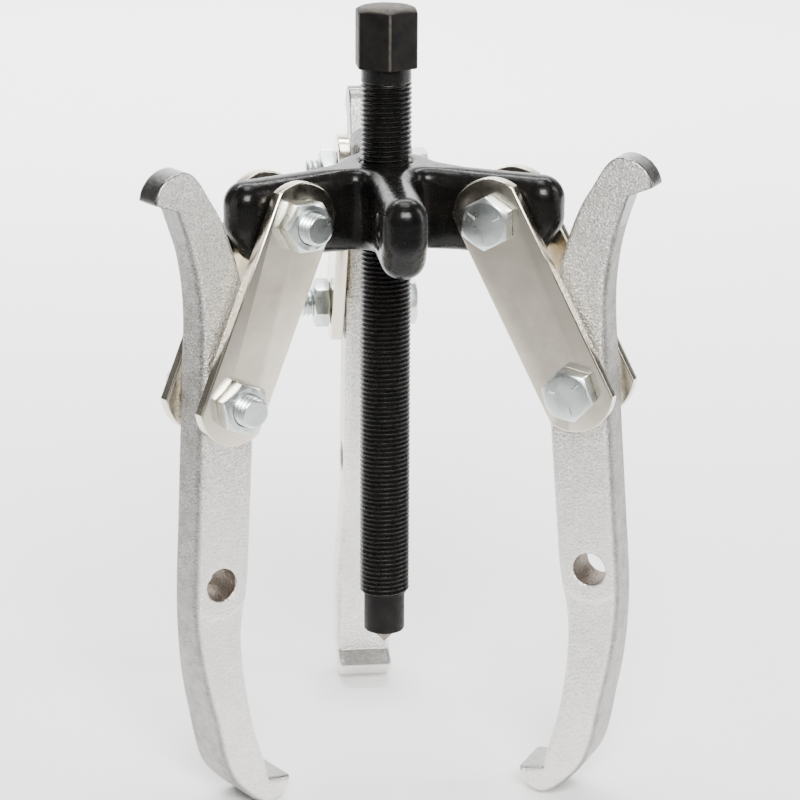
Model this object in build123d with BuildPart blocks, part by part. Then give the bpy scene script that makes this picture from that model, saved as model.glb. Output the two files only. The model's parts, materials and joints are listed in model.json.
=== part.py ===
from build123d import *
import os
from math import cos, radians, sin, tan

# Gear puller: a forcing screw through a four-armed yoke, and three two-ended jaws that hang on
# pairs of straps. Millimetres, +Z up. The origin is on the screw's axis, at the flat end of its nose.
# The arms point along +Y (rear), and at 120 degrees to it (left and right); the empty one points
# along -Y (front).

# ---- driving dimensions -------------------------------------------------------------------------
# forcing screw
THREAD_RADIUS = 7.92
THREAD_PITCH = 1.5
THREAD_DEPTH = 0.85
THREAD_CREST_SHARE = 0.22
NOSE_RADIUS = 6.5
NOSE_LENGTH = 12.9
NOSE_EDGE = 0.5
THREAD_END_CONE = 1.2
COLLAR_START = 178.1
COLLAR_RADIUS = 7.7
HEAD_START = 182.9
HEAD_HEIGHT = 18.7
HEX_ACROSS_FLATS = 18.0
HEAD_FACE_RADIUS = 7.6
HEAD_FACE_SAG = 0.35
HEAD_DOME_DROP = 0.9
HEAD_SKIRT_DROP = 4.6
# hardened centre in the nose
POINT_HEIGHT = 4.8
POINT_BASE_RADIUS = 4.4
POINT_SHANK_RADIUS = 3.0
POINT_SHANK_LENGTH = 8.0
POINT_SOCKET_CLEARANCE = 0.05
POINT_FACE_GAP = 0.05
POINT_SOCKET_EXTRA_DEPTH = 0.5
# yoke
YOKE_BOTTOM = 128.6
YOKE_HEIGHT = 25.4
HUB_RADIUS = 15.0
SCREW_BORE_CLEARANCE = 0.07
ARM_THICKNESS = 13.4
ARM_REACH = 58.0
ARM_CORNER_ROUND = 7.0
ARM_TOE_SETBACK = 7.0
ARM_TOE_RISE = 11.0
ARM_EDGE_ROUND = 5.0
HUB_EDGE_ROUND = 2.5
BORE_CHAMFER = 0.6
# pivots
PIVOT_RADIUS_AT = 39.35
PIVOT_HEIGHT = YOKE_BOTTOM + YOKE_HEIGHT / 2
PIVOT_HOLE_RADIUS = 5.1
# straps
STRAP_PITCH = 57.0
STRAP_WIDTH = 22.2
STRAP_THICKNESS = 4.0
STRAP_GAP = 15.4
STRAP_END_RADIUS = 12.7
STRAP_EDGE_BEVEL = 0.35
STRAP_HOLE_RADIUS = 4.95
# fasteners, 3/8 inch
BOLT_RADIUS = 4.76
BOLT_PITCH = 1.5875
BOLT_THREAD_DEPTH = 0.7
BOLT_END_CONE = 0.8
BOLT_HEAD_HEIGHT = 5.95
BOLT_WASHER_FACE = 0.4
BOLT_WASHER_RADIUS = 6.9
BOLT_STICK_OUT = 4.3
NUT_HEIGHT = 5.56
NUT_BORE_RADIUS = 4.8
BOLT_ACROSS_FLATS = 14.29
HEX_CHAMFER_ANGLE = 30.0
NUT_MOUTH_CHAMFER = 0.5
# jaws
JAW_HOLE_PITCH = 58.0
JAW_HOLE_RADIUS = 5.1
JAW_HOOK_THICKNESS = 9.4
JAW_BAR_THICKNESS = 12.8
JAW_TOE_THICKNESS = 18.4
JAW_PAD_RADIUS = 10.5
JAW_PAD_RISE = 0.5
JAW_PAD_INNER = -8.9
JAW_PAD_OUTER = 7.6
JAW_EDGE_ROUND = 1.6
JAW_REACH = 60.0
HOOK_LEVEL = 74.0
BAR_TOP_LEVEL = 12.0
BAR_FOOT_LEVEL = -68.0
TOE_LEVEL = -106.0
BELOW_TOE_LEVEL = -140.0

# azimuth of each jaw's arm; swing of its straps and lean of its jaw, both out from the vertical
SETS = {
    "left": {"azimuth": 210.0, "swing": 24.3, "lean": 3.3, "turns": (30.0, 0.0, 30.0, 21.0)},
    "right": {"azimuth": 330.0, "swing": 28.5, "lean": 5.1, "turns": (30.0, 24.0, 50.0, 18.0)},
    "rear": {"azimuth": 90.0, "swing": 28.5, "lean": 8.6, "turns": (5.0, 30.0, 1.0, 15.0)},
}
FRONT_AZIMUTH = 270.0

# ---- worked-out sizes ---------------------------------------------------------------------------
TOLERANCE = 0.01
YOKE_TOP = YOKE_BOTTOM + YOKE_HEIGHT
HEAD_TOP = HEAD_START + HEAD_HEIGHT
SCREW_BORE_RADIUS = THREAD_RADIUS + SCREW_BORE_CLEARANCE
STACK_HALF = STRAP_GAP / 2 + STRAP_THICKNESS
SHANK_LENGTH = 2 * STACK_HALF + NUT_HEIGHT + BOLT_STICK_OUT

os.makedirs("parts", exist_ok=True)


def keep(part, label):
    """Label a finished piece and write it to its own file."""
    part.label = label
    export_step(part, f"parts/{label}.step")


def arm_plane(azimuth, radial=0.0, height=0.0, tilt=0.0, offset=0.0):
    """Plane of one arm: x outward (turned up by tilt), y up, z towards the bolt heads."""
    outward = Vector(cos(radians(azimuth)), sin(radians(azimuth)), 0)
    upward = Vector(0, 0, 1)
    to_heads = outward.cross(upward)
    x_dir = outward * cos(radians(tilt)) + upward * sin(radians(tilt))
    origin = outward * radial + upward * height + to_heads * offset
    return Plane(origin=origin, x_dir=x_dir, z_dir=to_heads)


def lower_pivot(data):
    """Radius and height of the pivot at the straps' lower end."""
    swing = radians(data["swing"])
    return PIVOT_RADIUS_AT + STRAP_PITCH * sin(swing), PIVOT_HEIGHT - STRAP_PITCH * cos(swing)


def thread_outline(radius, depth, pitch, start, turns):
    """Outline points of ring grooves that stand for a thread, from start upwards."""
    crest = pitch * THREAD_CREST_SHARE
    points = []
    for turn in range(turns):
        foot = start + turn * pitch
        points += [(radius, foot), (radius, foot + crest), (radius - depth, foot + (pitch + crest) / 2)]
    return points


def turned(points):
    """A solid of revolution about Z from (radius, height) points."""
    with BuildPart() as solid:
        with BuildSketch(Plane.XZ):
            with BuildLine():
                Polyline(*points, close=True)
            make_face()
        revolve(axis=Axis.Z)
    return solid.part


def hexagon_blank(flats, low, high, cone_low, cone_high, turn=0.0):
    """A hexagon prism along Z whose corners are turned off by a cone at the ends asked for."""
    corner = flats / cos(radians(30)) / 2
    drop = (corner - flats / 2) * tan(radians(HEX_CHAMFER_ANGLE))
    lower_edge = [(flats / 2, low), (corner, low + drop)] if cone_low else [(corner, low)]
    upper_edge = [(corner, high - drop), (flats / 2, high)] if cone_high else [(corner, high)]
    envelope = turned([(0, low), *lower_edge, *upper_edge, (0, high)])
    with BuildPart() as prism:
        with BuildSketch(Plane.XY.offset(low)):
            RegularPolygon(radius=corner, side_count=6, rotation=turn)
        extrude(amount=high - low)
        add(envelope, mode=Mode.INTERSECT)
    return prism.part


def screw_head():
    """The forcing screw's hexagon, one corner to the front, with a turned-off, slightly domed top."""
    blank = hexagon_blank(HEX_ACROSS_FLATS, HEAD_START, HEAD_TOP, False, False, turn=FRONT_AZIMUTH)
    shoulder = HEAD_TOP - HEAD_DOME_DROP
    with BuildPart() as head:
        add(blank)
        with BuildSketch(Plane.XZ):
            with BuildLine():
                ThreePointArc((0, HEAD_TOP), (HEAD_FACE_RADIUS / 2, HEAD_TOP - HEAD_FACE_SAG / 4),
                              (HEAD_FACE_RADIUS, HEAD_TOP - HEAD_FACE_SAG))
                Polyline(
                    (HEAD_FACE_RADIUS, HEAD_TOP - HEAD_FACE_SAG),
                    (HEX_ACROSS_FLATS / 2, shoulder),
                    (HEX_ACROSS_FLATS, shoulder - HEAD_SKIRT_DROP),
                    (HEX_ACROSS_FLATS, HEAD_START),
                    (0, HEAD_START),
                    (0, HEAD_TOP),
                )
            make_face()
        revolve(axis=Axis.Z, mode=Mode.INTERSECT)
    return head.part


# ---- forcing screw: hexagon head, plain collar, threaded shank and plain nose -----------------------
thread_start = NOSE_LENGTH + THREAD_END_CONE
thread_turns = int((COLLAR_START - thread_start - THREAD_END_CONE) / THREAD_PITCH)
shank = turned([
    (0, 0),
    (NOSE_RADIUS - NOSE_EDGE, 0),
    (NOSE_RADIUS, NOSE_EDGE),
    (NOSE_RADIUS, NOSE_LENGTH),
    (THREAD_RADIUS - THREAD_DEPTH, NOSE_LENGTH),
    *thread_outline(THREAD_RADIUS, THREAD_DEPTH, THREAD_PITCH, thread_start, thread_turns),
    (COLLAR_RADIUS, COLLAR_START),
    (COLLAR_RADIUS, HEAD_START),
    (0, HEAD_START),
])
head_blank = screw_head()
with BuildPart() as forcing_screw:
    add(shank)
    add(head_blank)
    Cylinder(
        radius=POINT_SHANK_RADIUS + POINT_SOCKET_CLEARANCE,
        height=POINT_SHANK_LENGTH + POINT_SOCKET_EXTRA_DEPTH,
        align=(Align.CENTER, Align.CENTER, Align.MIN),
        mode=Mode.SUBTRACT,
    )
keep(forcing_screw.part, "forcing_screw")

# ---- hardened centre: a cone on a plain shank that sits in the screw's nose ------------------------
keep(turned([
    (0, -POINT_HEIGHT),
    (POINT_BASE_RADIUS, -POINT_FACE_GAP),
    (POINT_SHANK_RADIUS, -POINT_FACE_GAP),
    (POINT_SHANK_RADIUS, POINT_SHANK_LENGTH),
    (0, POINT_SHANK_LENGTH),
]), "screw_point")


# ---- yoke: hub and four forged arms, each cut back at its toe to clear the jaw ---------------------
def forged_arm(azimuth):
    """One arm with every edge rounded over, and its pivot hole."""
    plane = arm_plane(azimuth)
    with BuildPart() as arm:
        with BuildSketch(plane):
            with BuildLine():
                FilletPolyline(
                    (0, YOKE_BOTTOM),
                    (ARM_REACH - ARM_TOE_SETBACK, YOKE_BOTTOM),
                    (ARM_REACH, YOKE_BOTTOM + ARM_TOE_RISE),
                    (ARM_REACH, YOKE_TOP),
                    (0, YOKE_TOP),
                    radius=ARM_CORNER_ROUND,
                )
                Line((0, YOKE_TOP), (0, YOKE_BOTTOM))
            make_face()
        extrude(amount=ARM_THICKNESS / 2, both=True)
        rim = [edge for edge in arm.edges() if plane.to_local_coords(edge.center()).X > TOLERANCE]
        fillet(rim, radius=ARM_EDGE_ROUND)
        with Locations(arm_plane(azimuth, PIVOT_RADIUS_AT, PIVOT_HEIGHT, offset=ARM_THICKNESS / 2)):
            Hole(radius=PIVOT_HOLE_RADIUS, depth=ARM_THICKNESS)
    return arm.part


azimuths = [data["azimuth"] for data in SETS.values()] + [FRONT_AZIMUTH]
arms = [forged_arm(azimuth) for azimuth in azimuths]
with BuildPart() as yoke:
    with Locations((0, 0, YOKE_BOTTOM)):
        Cylinder(HUB_RADIUS, YOKE_HEIGHT, align=(Align.CENTER, Align.CENTER, Align.MIN))
    fillet(yoke.edges().filter_by(GeomType.CIRCLE), radius=HUB_EDGE_ROUND)
    for arm in arms:
        add(arm)
    with Locations((0, 0, YOKE_BOTTOM)):
        Cylinder(
            radius=SCREW_BORE_RADIUS,
            height=YOKE_HEIGHT,
            align=(Align.CENTER, Align.CENTER, Align.MIN),
            mode=Mode.SUBTRACT,
        )
    bore_mouths = [
        edge for edge in yoke.edges().filter_by(GeomType.CIRCLE)
        if abs(edge.radius - SCREW_BORE_RADIUS) < TOLERANCE
    ]
    chamfer(bore_mouths, length=BORE_CHAMFER)
keep(yoke.part, "yoke")


# ---- straps, bolts, nuts and jaw of one arm --------------------------------------------------------
def strap(plane, thickness):
    """A flat bar with large-radius ends, standing out from the plane along its normal.

    The plane's origin is the upper pivot, and its y axis runs from the lower pivot to the upper one.
    """
    half_width = STRAP_WIDTH / 2
    corner_run = (STRAP_END_RADIUS**2 - half_width**2) ** 0.5
    with BuildPart() as bar:
        with BuildSketch(plane):
            with BuildLine():
                Polyline((-half_width, corner_run), (-half_width, -STRAP_PITCH - corner_run))
                ThreePointArc((-half_width, -STRAP_PITCH - corner_run), (0, -STRAP_PITCH - STRAP_END_RADIUS),
                              (half_width, -STRAP_PITCH - corner_run))
                Polyline((half_width, -STRAP_PITCH - corner_run), (half_width, corner_run))
                ThreePointArc((half_width, corner_run), (0, STRAP_END_RADIUS), (-half_width, corner_run))
            make_face()
            with Locations((0, 0), (0, -STRAP_PITCH)):
                Circle(STRAP_HOLE_RADIUS, mode=Mode.SUBTRACT)
        extrude(amount=thickness)
        faces_with_rims = bar.faces().filter_by(Axis(plane.origin, plane.z_dir))
        rims = [edge for face in faces_with_rims for edge in face.outer_wire().edges()]
        chamfer(rims, length=STRAP_EDGE_BEVEL)
    return bar.part


def bolt():
    """A hexagon bolt along Z: its head's seat is at zero, the head above, the shank below."""
    blank = hexagon_blank(BOLT_ACROSS_FLATS, BOLT_WASHER_FACE, BOLT_HEAD_HEIGHT, False, True)
    grooves = int(BOLT_STICK_OUT / BOLT_PITCH)
    tip = -SHANK_LENGTH
    threads = thread_outline(BOLT_RADIUS, BOLT_THREAD_DEPTH, BOLT_PITCH, tip + BOLT_END_CONE, grooves)
    core = turned([
        (0, tip),
        (BOLT_RADIUS - BOLT_END_CONE, tip),
        *threads,
        (BOLT_RADIUS, tip + BOLT_END_CONE + grooves * BOLT_PITCH),
        (BOLT_RADIUS, 0),
        (BOLT_WASHER_RADIUS, 0),
        (BOLT_WASHER_RADIUS, BOLT_WASHER_FACE),
        (0, BOLT_WASHER_FACE),
    ])
    with BuildPart() as piece:
        add(core)
        add(blank)
    return piece.part


def nut():
    """A jam nut along Z, seated at zero, with both faces turned off, standing down from its seat."""
    blank = hexagon_blank(BOLT_ACROSS_FLATS, -NUT_HEIGHT, 0, True, True)
    with BuildPart() as piece:
        add(blank)
        Cylinder(NUT_BORE_RADIUS, 3 * NUT_HEIGHT, mode=Mode.SUBTRACT)
        mouths = piece.edges().filter_by(GeomType.CIRCLE).group_by(SortBy.RADIUS)[0]
        chamfer(mouths, length=NUT_MOUTH_CHAMFER)
    return piece.part


def jaw_outline():
    """Closed outline of a jaw: x outward, y up, origin at the pivot under the straps."""
    crown, hook_tip, notch = (17.0, 70.2), (26.3, 61.0), (18.9, 58.6)
    heel, waist_top, lip_root = (-10.4, -20.0), (-10.5, -56.0), (-19.2, -124.6)
    lip_tip, sole, shin, knee = (-27.2, -125.2), (-19.8, -132.9), (9.1, -45.0), (9.5, 5.0)
    Spline(crown, (6.9, 60.4), (-2.2, 43.5), (-8.4, 13.0), heel, tangents=((-1, 0), (0, -1)))
    Line(heel, waist_top)
    Spline(waist_top, (-8.6, -76.0), (-12.0, -102.0), lip_root, tangents=((0, -1), (-0.25, -1)))
    Line(lip_root, lip_tip)
    ThreePointArc(lip_tip, (-25.4, -130.2), sole)
    Spline(sole, (-8.2, -125.6), (2.2, -100.0), (8.2, -72.0), shin, tangents=((1, 0.1), (0, 1)))
    Line(shin, knee)
    Spline(knee, (11.3, 35.0), notch, tangents=((0, 1), (0.45, 1)))
    Line(notch, hook_tip)
    ThreePointArc(hook_tip, (23.4, 67.4), crown)


def is_face_rim(edge):
    """True for an edge that follows the outline on either side face of a jaw."""
    start, end = edge @ 0, edge @ 1
    leaves_the_middle = abs(start.Z) > TOLERANCE and abs(end.Z) > TOLERANCE
    stays_on_its_side = start.Z * end.Z > 0
    across_the_bar = abs(start.Y - end.Y) < TOLERANCE
    return leaves_the_middle and stays_on_its_side and not across_the_bar


def jaw():
    """A two-ended jaw drawn on XY about its upper hole, thin at the hook and widening to the toe."""
    thickness_at = [
        (JAW_HOOK_THICKNESS / 2, HOOK_LEVEL),
        (JAW_BAR_THICKNESS / 2, BAR_TOP_LEVEL),
        (JAW_BAR_THICKNESS / 2, BAR_FOOT_LEVEL),
        (JAW_TOE_THICKNESS / 2, TOE_LEVEL),
        (JAW_TOE_THICKNESS / 2, BELOW_TOE_LEVEL),
    ]
    mirrored = [(-across, level) for across, level in reversed(thickness_at)]
    with BuildPart() as piece:
        with BuildSketch():
            with BuildLine():
                jaw_outline()
            make_face()
        extrude(amount=JAW_TOE_THICKNESS, both=True)
        with BuildSketch(Plane(origin=(0, 0, 0), x_dir=(0, 0, 1), z_dir=(-1, 0, 0))):
            with BuildLine():
                Polyline(*thickness_at, *mirrored, close=True)
            make_face()
        extrude(amount=JAW_REACH, both=True, mode=Mode.INTERSECT)
        fillet([edge for edge in piece.edges() if is_face_rim(edge)], radius=JAW_EDGE_ROUND)
        with BuildSketch():
            with Locations((0, -JAW_HOLE_PITCH / 2)):
                SlotCenterToCenter(JAW_HOLE_PITCH, 2 * JAW_PAD_RADIUS, rotation=90)
            with Locations(((JAW_PAD_INNER + JAW_PAD_OUTER) / 2, -JAW_HOLE_PITCH / 2)):
                Rectangle(JAW_PAD_OUTER - JAW_PAD_INNER, 2 * JAW_HOLE_PITCH, mode=Mode.INTERSECT)
        extrude(amount=JAW_BAR_THICKNESS / 2 + JAW_PAD_RISE, both=True)
        with BuildSketch():
            with Locations((0, 0), (0, -JAW_HOLE_PITCH)):
                Circle(JAW_HOLE_RADIUS)
        extrude(amount=JAW_TOE_THICKNESS, both=True, mode=Mode.SUBTRACT)
    return piece.part


def placed(blank, plane, turn=0.0):
    """A piece drawn about the origin, moved to a plane and turned about the plane's normal."""
    x_dir = plane.x_dir * cos(radians(turn)) + plane.y_dir * sin(radians(turn))
    with BuildPart() as piece:
        with Locations(Plane(origin=plane.origin, x_dir=x_dir, z_dir=plane.z_dir)):
            add(blank)
    return piece.part


plain_jaw = jaw()
plain_bolt = bolt()
plain_nut = nut()
for name, data in SETS.items():
    azimuth = data["azimuth"]
    lower_radius, lower_height = lower_pivot(data)
    swing, lean = data["swing"], data["lean"]
    jaw_plane = arm_plane(azimuth, lower_radius, lower_height, tilt=lean)
    keep(placed(plain_jaw, jaw_plane), f"{name}_jaw")
    for side, offset in (("head_side", STRAP_GAP / 2), ("nut_side", -STACK_HALF)):
        bar_plane = arm_plane(azimuth, PIVOT_RADIUS_AT, PIVOT_HEIGHT, tilt=swing, offset=offset)
        keep(strap(bar_plane, STRAP_THICKNESS), f"{name}_strap_{side}")
    pivots = {
        "upper": (PIVOT_RADIUS_AT, PIVOT_HEIGHT, data["turns"][0], data["turns"][1]),
        "lower": (lower_radius, lower_height, data["turns"][2], data["turns"][3]),
    }
    for level, (radial, height, bolt_turn, nut_turn) in pivots.items():
        head_seat = arm_plane(azimuth, radial, height, offset=STACK_HALF)
        nut_seat = arm_plane(azimuth, radial, height, offset=-STACK_HALF)
        keep(placed(plain_bolt, head_seat, bolt_turn), f"{name}_{level}_bolt")
        keep(placed(plain_nut, nut_seat, nut_turn), f"{name}_{level}_nut")
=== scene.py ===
# Gear puller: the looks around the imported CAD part. Lengths are millimetres until a mesh is made.
import json
from math import atan2, ceil, cos, pi, radians, sin, tan

import bmesh
import bpy
import numpy as np
from mathutils import Matrix, Vector


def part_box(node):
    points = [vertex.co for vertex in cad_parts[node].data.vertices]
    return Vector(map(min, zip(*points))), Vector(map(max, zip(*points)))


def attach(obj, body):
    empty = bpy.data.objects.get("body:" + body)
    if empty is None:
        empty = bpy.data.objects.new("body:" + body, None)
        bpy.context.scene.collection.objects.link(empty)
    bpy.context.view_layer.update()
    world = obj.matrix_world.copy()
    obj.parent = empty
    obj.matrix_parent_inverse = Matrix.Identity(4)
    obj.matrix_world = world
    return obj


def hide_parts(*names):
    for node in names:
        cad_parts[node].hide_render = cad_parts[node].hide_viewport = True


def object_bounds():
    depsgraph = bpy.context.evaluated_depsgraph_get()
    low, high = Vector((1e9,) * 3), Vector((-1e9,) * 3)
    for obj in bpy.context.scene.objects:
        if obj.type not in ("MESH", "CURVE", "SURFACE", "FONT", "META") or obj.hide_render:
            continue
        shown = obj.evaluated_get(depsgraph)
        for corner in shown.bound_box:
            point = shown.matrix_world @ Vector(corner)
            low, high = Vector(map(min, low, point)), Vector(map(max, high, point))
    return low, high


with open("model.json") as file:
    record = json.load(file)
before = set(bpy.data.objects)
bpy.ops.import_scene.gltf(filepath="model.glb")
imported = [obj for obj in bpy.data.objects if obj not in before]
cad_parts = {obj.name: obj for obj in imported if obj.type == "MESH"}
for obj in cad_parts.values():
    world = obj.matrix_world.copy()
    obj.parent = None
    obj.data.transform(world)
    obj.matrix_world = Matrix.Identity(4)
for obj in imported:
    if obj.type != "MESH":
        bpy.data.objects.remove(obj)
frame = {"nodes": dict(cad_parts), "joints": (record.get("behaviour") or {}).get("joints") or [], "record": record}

cad_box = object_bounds()
MM = 0.001
JOINTS = {joint["name"]: joint for joint in frame["joints"]}
MOUNTS = {mount["name"]: mount for mount in frame["record"]["mounts"]}

# ---- sizes ----------------------------------------------------------------------------------------
# forcing screw
THREAD_RADIUS, THREAD_PITCH, THREAD_DEPTH = 7.92, 1.5, 0.92
NOSE_RADIUS, NOSE_LENGTH, NOSE_EDGE = 6.5, 12.9, 0.6
COLLAR_START, COLLAR_RADIUS = 178.1, 7.7
HEAD_START, HEAD_TOP = 182.9, 201.6
SCREW_ACROSS_FLATS = 18.0
SOCKET_RADIUS = 3.05
SOCKET_DEPTH = 8.5
# yoke
YOKE_BOTTOM, YOKE_TOP = (corner.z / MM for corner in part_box("yoke"))
HUB_RADIUS = 15.0
ARM_AZIMUTHS = (90.0, 210.0, 330.0, 270.0)
ARM_THICKNESS = 13.4
ARM_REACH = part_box("yoke")[1].y / MM
# straps and fasteners
STACK_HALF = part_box("rear_strap_head_side")[1].x / MM
BOLT_RADIUS, BOLT_PITCH, BOLT_THREAD_DEPTH = 4.76, 1.5875, 0.9
BOLT_ACROSS_FLATS = 14.29
BOLT_HEAD_HEIGHT, WASHER_FACE, WASHER_RADIUS = 5.95, 0.4, 6.9
NUT_HEIGHT = 5.56
BOLT_STICK_OUT = 4.3
PIN_HOLE_RADIUS = 5.1
JAW_HOLE_PITCH = 58.0
# each arm's fasteners, turned about their own axes: upper bolt, upper nut, lower bolt, lower nut
TURNS = {
    "left": (30.0, 0.0, 30.0, 21.0),
    "right": (30.0, 24.0, 50.0, 18.0),
    "rear": (5.0, 30.0, 1.0, 15.0),
}


# ---- meshes from points ---------------------------------------------------------------------------
def new_object(name, vertices, faces, material, slot):
    """A mesh object from points in millimetres."""
    mesh = bpy.data.meshes.new(name)
    mesh.from_pydata((np.asarray(vertices, float) * MM).tolist(), [], [list(face) for face in faces])
    mesh.validate()
    mesh.materials.append(material)
    piece = bpy.data.objects.new(name, mesh)
    bpy.context.scene.collection.objects.link(piece)
    return piece


def clean(piece, angle=30.0):
    """Merges doubled points, turns the faces outward, and shades smooth but for sharp edges."""
    work = bmesh.new()
    work.from_mesh(piece.data)
    bmesh.ops.remove_doubles(work, verts=work.verts, dist=1e-6)
    bmesh.ops.dissolve_degenerate(work, edges=work.edges, dist=1e-7)
    bmesh.ops.recalc_face_normals(work, faces=work.faces)
    work.to_mesh(piece.data)
    work.free()
    piece.data.polygons.foreach_set("use_smooth", [True] * len(piece.data.polygons))
    piece.data.set_sharp_from_angle(angle=radians(angle))
    return piece


def rings_mesh(rings, closed=False):
    """Vertices and faces of a skin over rings of equally many points. It ends in fans unless closed."""
    count = len(rings[0])
    vertices = np.concatenate(rings)
    around = np.arange(count)
    beside = (around + 1) % count
    faces = []
    spans = range(len(rings)) if closed else range(len(rings) - 1)
    for ring in spans:
        low, high = ring * count, (ring + 1) % len(rings) * count
        faces += zip(low + around, low + beside, high + beside, high + around)
    if not closed:
        faces += [tuple(around[::-1]), tuple((len(rings) - 1) * count + around)]
    return vertices, faces


def circle_ring(radius, height, directions):
    """A level ring at one radius, along unit directions."""
    heights = np.full((len(directions), 1), float(height))
    return np.hstack([directions * radius, heights])


def even_directions(count):
    angles = np.arange(count) * 2 * pi / count
    return np.column_stack([np.cos(angles), np.sin(angles)])


def hexagon_points(flats, corner_round=0.45, per_flat=9, turn=0.0):
    """Points round a hexagon with slightly rounded corners, a corner on +X before the turn."""
    points = []
    centre_distance = (flats / 2 - corner_round) / cos(radians(30))
    for side in range(6):
        corner = radians(60 * side)
        centre = centre_distance * np.array([cos(corner), sin(corner)])
        for step in (-30, -15, 0, 15, 30):
            angle = corner + radians(step)
            points.append(centre + corner_round * np.array([cos(angle), sin(angle)]))
        following = corner + radians(60)
        start = points[-1]
        end = centre_distance * np.array([cos(following), sin(following)])
        end = end + corner_round * np.array([cos(following - radians(30)), sin(following - radians(30))])
        points += [start + (end - start) * step / (per_flat + 1) for step in range(1, per_flat + 1)]
    spin = radians(turn)
    rotation = np.array([[cos(spin), -sin(spin)], [sin(spin), cos(spin)]])
    return np.array(points) @ rotation.T


def with_heights(points, heights):
    return np.column_stack([points, np.broadcast_to(heights, len(points))])


# ---- threads --------------------------------------------------------------------------------------
def thread_groove(phase):
    """Depth share of a 60 degree thread, 0 at the crest and 1 at the root, for phases 0 to 1."""
    crest_share, flank_share = 0.12, 0.70
    away = np.abs((phase % 1.0) - 0.5) * 2
    return np.clip((1.0 - away - crest_share) / flank_share, 0, 1)


def threaded_rod(name, pitch, low, high, radius_at, depth_at, material, slot, segments=96, rows=10):
    """A right-hand helical thread. Its grid climbs with the helix, and is cut level at both ends."""
    turns = ceil((high - low) / pitch) + 2
    row = np.arange((turns + 1) * rows + 1)
    step = np.arange(segments)
    climb = step / segments
    height = low - pitch + (row[:, None] / rows + climb[None, :] - 1) * pitch
    groove = thread_groove(row / rows)[:, None]
    radius = radius_at(height) - depth_at(height) * groove
    angle = 2 * pi * climb[None, :]
    vertices = np.stack([radius * np.cos(angle), radius * np.sin(angle), height], axis=-1)
    faces = []
    index = row[:-1, None] * segments + step[None, :]
    low_side = index[:, :-1].ravel()
    faces += zip(low_side, low_side + 1, low_side + 1 + segments, low_side + segments)
    seam = np.arange(len(row) - rows - 1)
    last = seam * segments + segments - 1
    first = (seam + rows) * segments
    faces += zip(last, first, first + segments, last + segments)
    piece = new_object(name, vertices.reshape(-1, 3), faces, material, slot)
    work = bmesh.new()
    work.from_mesh(piece.data)
    for level, up in ((low, -1), (high, 1)):
        everything = work.verts[:] + work.edges[:] + work.faces[:]
        bmesh.ops.bisect_plane(work, geom=everything, plane_co=(0, 0, level * MM), plane_no=(0, 0, up),
                               clear_outer=True)
    rims = [edge for edge in work.edges if edge.is_boundary]
    bmesh.ops.holes_fill(work, edges=rims)
    work.to_mesh(piece.data)
    work.free()
    return clean(piece, 35.0)


def joined(name, pieces):
    """One object of several closed pieces."""
    work = bmesh.new()
    for piece in pieces:
        piece.data.transform(piece.matrix_world)
        work.from_mesh(piece.data)
    keeper = pieces[0]
    work.to_mesh(keeper.data)
    work.free()
    for piece in pieces[1:]:
        bpy.data.objects.remove(piece)
    keeper.name = name
    keeper.data.name = name
    return keeper


# ---- surfaces from distance fields ----------------------------------------------------------------
def smooth_min(a, b, blend):
    share = np.clip(0.5 + 0.5 * (b - a) / blend, 0, 1)
    return b + (a - b) * share - blend * share * (1 - share)


def smooth_max(a, b, blend):
    return -smooth_min(-a, -b, blend)


def rounded_and(a, b, radius):
    """What lies in both, with the edge between them rounded to a radius."""
    inner = np.minimum(np.maximum(a + radius, b + radius), 0)
    outer = np.hypot(np.maximum(a + radius, 0), np.maximum(b + radius, 0))
    return inner + outer - radius


def smooth_step(value, low, high):
    share = np.clip((value - low) / (high - low), 0, 1)
    return share * share * (3 - 2 * share)


def outline_distance(outline, x, y):
    """Signed distance to a closed outline, below zero inside."""
    nearest = np.full(np.broadcast(x, y).shape, np.inf)
    inside = np.zeros(nearest.shape, bool)
    for start, end in zip(outline, np.roll(outline, -1, axis=0)):
        along = end - start
        to_x, to_y = x - start[0], y - start[1]
        share = np.clip((to_x * along[0] + to_y * along[1]) / (along @ along), 0, 1)
        nearest = np.minimum(nearest, (to_x - share * along[0])**2 + (to_y - share * along[1])**2)
        crosses = (start[1] > y) != (end[1] > y)
        if along[1] != 0:
            inside ^= crosses & (to_x < along[0] * to_y / along[1])
    return np.where(inside, -1, 1) * np.sqrt(nearest)


def pulled_onto(field, points, step, pulls=3, least_slope=0.05):
    """Points moved onto a field's zero level, each time by at most half a grid step."""
    reach = step / 4
    for _ in range(pulls):
        level = field(*points.T)
        slope = np.stack([
            field(*(points + reach * np.eye(3)[i]).T) - field(*(points - reach * np.eye(3)[i]).T)
            for i in range(3)
        ], axis=1) / (2 * reach)
        strength = np.maximum((slope**2).sum(axis=1), least_slope)
        move = -level[:, None] * slope / strength[:, None]
        points = points + np.clip(move, -step / 2, step / 2)
    return points


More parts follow.
